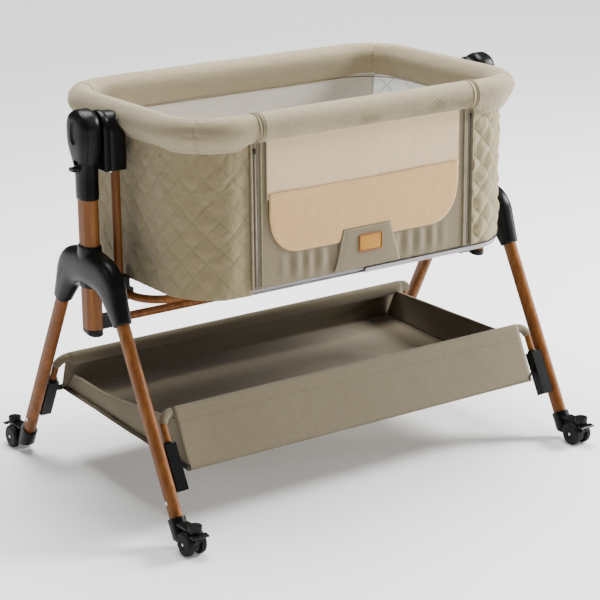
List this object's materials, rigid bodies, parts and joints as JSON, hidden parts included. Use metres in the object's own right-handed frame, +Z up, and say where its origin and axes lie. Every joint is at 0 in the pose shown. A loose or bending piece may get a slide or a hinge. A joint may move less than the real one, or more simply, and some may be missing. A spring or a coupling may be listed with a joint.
{
  "type": "bassinet on stand",
  "caption": "Padded oval-cornered bassinet hung between two posts on a wheeled A-frame stand, with a drop-down mesh side and a fabric storage tray.",
  "frame": {"origin": "centre of the footprint on the floor, below the middle of the basket", "axes": "+X along the basket towards its right end, +Y towards the back, away from the side that drops down, +Z up"},
  "size_m": [1.0052, 0.744, 0.772],
  "materials": {
    "wood_look_tube": "wood-look printed film on aluminium tube, satin",
    "black_plastic": "fine-grained satin black moulding",
    "bush_plastic": "low-friction guide plastic",
    "wheel_plastic": "satin black tread and disc",
    "steel": "zinc-plated",
    "tray_fabric": "plain weave canvas",
    "rail_fabric": "padded woven cloth with piping",
    "quilted_fabric": "diamond-quilted cloth",
    "board": "stiff base board",
    "mattress_cover": "soft white cover",
    "mesh_panel": "open knitted mesh over tan cloth",
    "leather_patch": "plain tan patch with a stitched edge"
  },
  "bodies": {
    "stand": {"hub_left": "black_plastic", "hub_right": "black_plastic", "leg_front_left": "wood_look_tube", "leg_front_right": "wood_look_tube", "leg_back_left": "wood_look_tube", "leg_back_right": "wood_look_tube", "foot_front_left": "black_plastic", "foot_front_right": "black_plastic", "foot_back_left": "black_plastic", "foot_back_right": "black_plastic", "post_bushes": "bush_plastic", "leg_screws": "steel", "storage_rods": "wood_look_tube", "storage_brackets": "black_plastic", "storage_tray": "tray_fabric"},
    "lift": {"post_left": "wood_look_tube", "post_right": "wood_look_tube", "head_left": "black_plastic", "head_right": "black_plastic", "head_cover_left": "black_plastic", "head_cover_right": "black_plastic", "post_caps": "black_plastic", "stretcher": "wood_look_tube", "stretcher_clamps": "black_plastic"},
    "height_lever_left": {"height_lever_left": "black_plastic"},
    "swing_button_left": {"swing_button_left": "black_plastic"},
    "height_lever_right": {"height_lever_right": "black_plastic"},
    "swing_button_right": {"swing_button_right": "black_plastic"},
    "cradle": {"rail_bracket_left": "black_plastic", "rail_bracket_right": "black_plastic", "pivot_bolts": "steel", "bracket_screws": "steel", "rail_tube": "steel", "rail_sleeve": "rail_fabric", "end_uprights": "wood_look_tube", "upright_clamps": "black_plastic", "base_loop": "wood_look_tube", "basket_shell": "quilted_fabric", "base_board": "board", "mattress": "mattress_cover"},
    "drop_side": {"drop_rail_tube": "steel", "drop_rail_sleeve": "rail_fabric", "drop_panel": "mesh_panel", "label_patch": "leather_patch"},
    "castor_front_left": {"castor_front_left": "black_plastic", "axle_front_left": "steel"},
    "wheels_front_left": {"wheels_front_left": "wheel_plastic"},
    "pedal_front_left": {"pedal_front_left": "black_plastic"},
    "castor_front_right": {"castor_front_right": "black_plastic", "axle_front_right": "steel"},
    "wheels_front_right": {"wheels_front_right": "wheel_plastic"},
    "pedal_front_right": {"pedal_front_right": "black_plastic"},
    "castor_back_left": {"castor_back_left": "black_plastic", "axle_back_left": "steel"},
    "wheels_back_left": {"wheels_back_left": "wheel_plastic"},
    "pedal_back_left": {"pedal_back_left": "black_plastic"},
    "castor_back_right": {"castor_back_right": "black_plastic", "axle_back_right": "steel"},
    "wheels_back_right": {"wheels_back_right": "wheel_plastic"},
    "pedal_back_right": {"pedal_back_right": "black_plastic"}
  },
  "joints": [
    {"name": "height_slide", "type": "slide", "parent": "stand", "child": "lift", "axis": [0, 0, 1], "range_m": [-0.085, 0.06]},
    {"name": "cradle_swing", "type": "hinge", "parent": "lift", "child": "cradle", "pos_m": [0, 0, 0.731], "axis": [1, 0, 0], "range_deg": [-8, 8]},
    {"name": "drop_side_fold", "type": "hinge", "parent": "cradle", "child": "drop_side", "pos_m": [0, -0.2385, 0.437], "axis": [1, 0, 0], "range_deg": [0, 150]},
    {"name": "height_lever_left_slide", "type": "slide", "parent": "lift", "child": "height_lever_left", "axis": [0, 0, 1], "range_m": [0, 0.008], "stiffness_N_per_m": 400, "springref_m": -0.004},
    {"name": "swing_button_left_press", "type": "slide", "parent": "lift", "child": "swing_button_left", "axis": [1, 0, 0], "range_m": [0, 0.004], "stiffness_N_per_m": 400, "springref_m": -0.002},
    {"name": "height_lever_right_slide", "type": "slide", "parent": "lift", "child": "height_lever_right", "axis": [0, 0, 1], "range_m": [0, 0.008], "stiffness_N_per_m": 400, "springref_m": -0.004},
    {"name": "swing_button_right_press", "type": "slide", "parent": "lift", "child": "swing_button_right", "axis": [-1, 0, 0], "range_m": [0, 0.004], "stiffness_N_per_m": 400, "springref_m": -0.002},
    {"name": "castor_front_left_swivel", "type": "hinge", "parent": "stand", "child": "castor_front_left", "pos_m": [-0.47, -0.35, 0.05], "axis": [0, 0, 1], "continuous": true},
    {"name": "wheels_front_left_spin", "type": "hinge", "parent": "castor_front_left", "child": "wheels_front_left", "pos_m": [-0.47, -0.338, 0.0235], "axis": [1, 0, 0], "continuous": true},
    {"name": "pedal_front_left_press", "type": "hinge", "parent": "castor_front_left", "child": "pedal_front_left", "pos_m": [-0.47, -0.358, 0.0385], "axis": [1, 0, 0], "range_deg": [0, 14]},
    {"name": "castor_front_right_swivel", "type": "hinge", "parent": "stand", "child": "castor_front_right", "pos_m": [0.47, -0.35, 0.05], "axis": [0, 0, 1], "continuous": true},
    {"name": "wheels_front_right_spin", "type": "hinge", "parent": "castor_front_right", "child": "wheels_front_right", "pos_m": [0.47, -0.338, 0.0235], "axis": [1, 0, 0], "continuous": true},
    {"name": "pedal_front_right_press", "type": "hinge", "parent": "castor_front_right", "child": "pedal_front_right", "pos_m": [0.47, -0.358, 0.0385], "axis": [1, 0, 0], "range_deg": [0, 14]},
    {"name": "castor_back_left_swivel", "type": "hinge", "parent": "stand", "child": "castor_back_left", "pos_m": [-0.47, 0.35, 0.05], "axis": [0, 0, 1], "continuous": true},
    {"name": "wheels_back_left_spin", "type": "hinge", "parent": "castor_back_left", "child": "wheels_back_left", "pos_m": [-0.47, 0.338, 0.0235], "axis": [1, 0, 0], "continuous": true},
    {"name": "pedal_back_left_press", "type": "hinge", "parent": "castor_back_left", "child": "pedal_back_left", "pos_m": [-0.47, 0.358, 0.0385], "axis": [1, 0, 0], "range_deg": [-14, 0]},
    {"name": "castor_back_right_swivel", "type": "hinge", "parent": "stand", "child": "castor_back_right", "pos_m": [0.47, 0.35, 0.05], "axis": [0, 0, 1], "continuous": true},
    {"name": "wheels_back_right_spin", "type": "hinge", "parent": "castor_back_right", "child": "wheels_back_right", "pos_m": [0.47, 0.338, 0.0235], "axis": [1, 0, 0], "continuous": true},
    {"name": "pedal_back_right_press", "type": "hinge", "parent": "castor_back_right", "child": "pedal_back_right", "pos_m": [0.47, 0.358, 0.0385], "axis": [1, 0, 0], "range_deg": [-14, 0]}
  ]
}
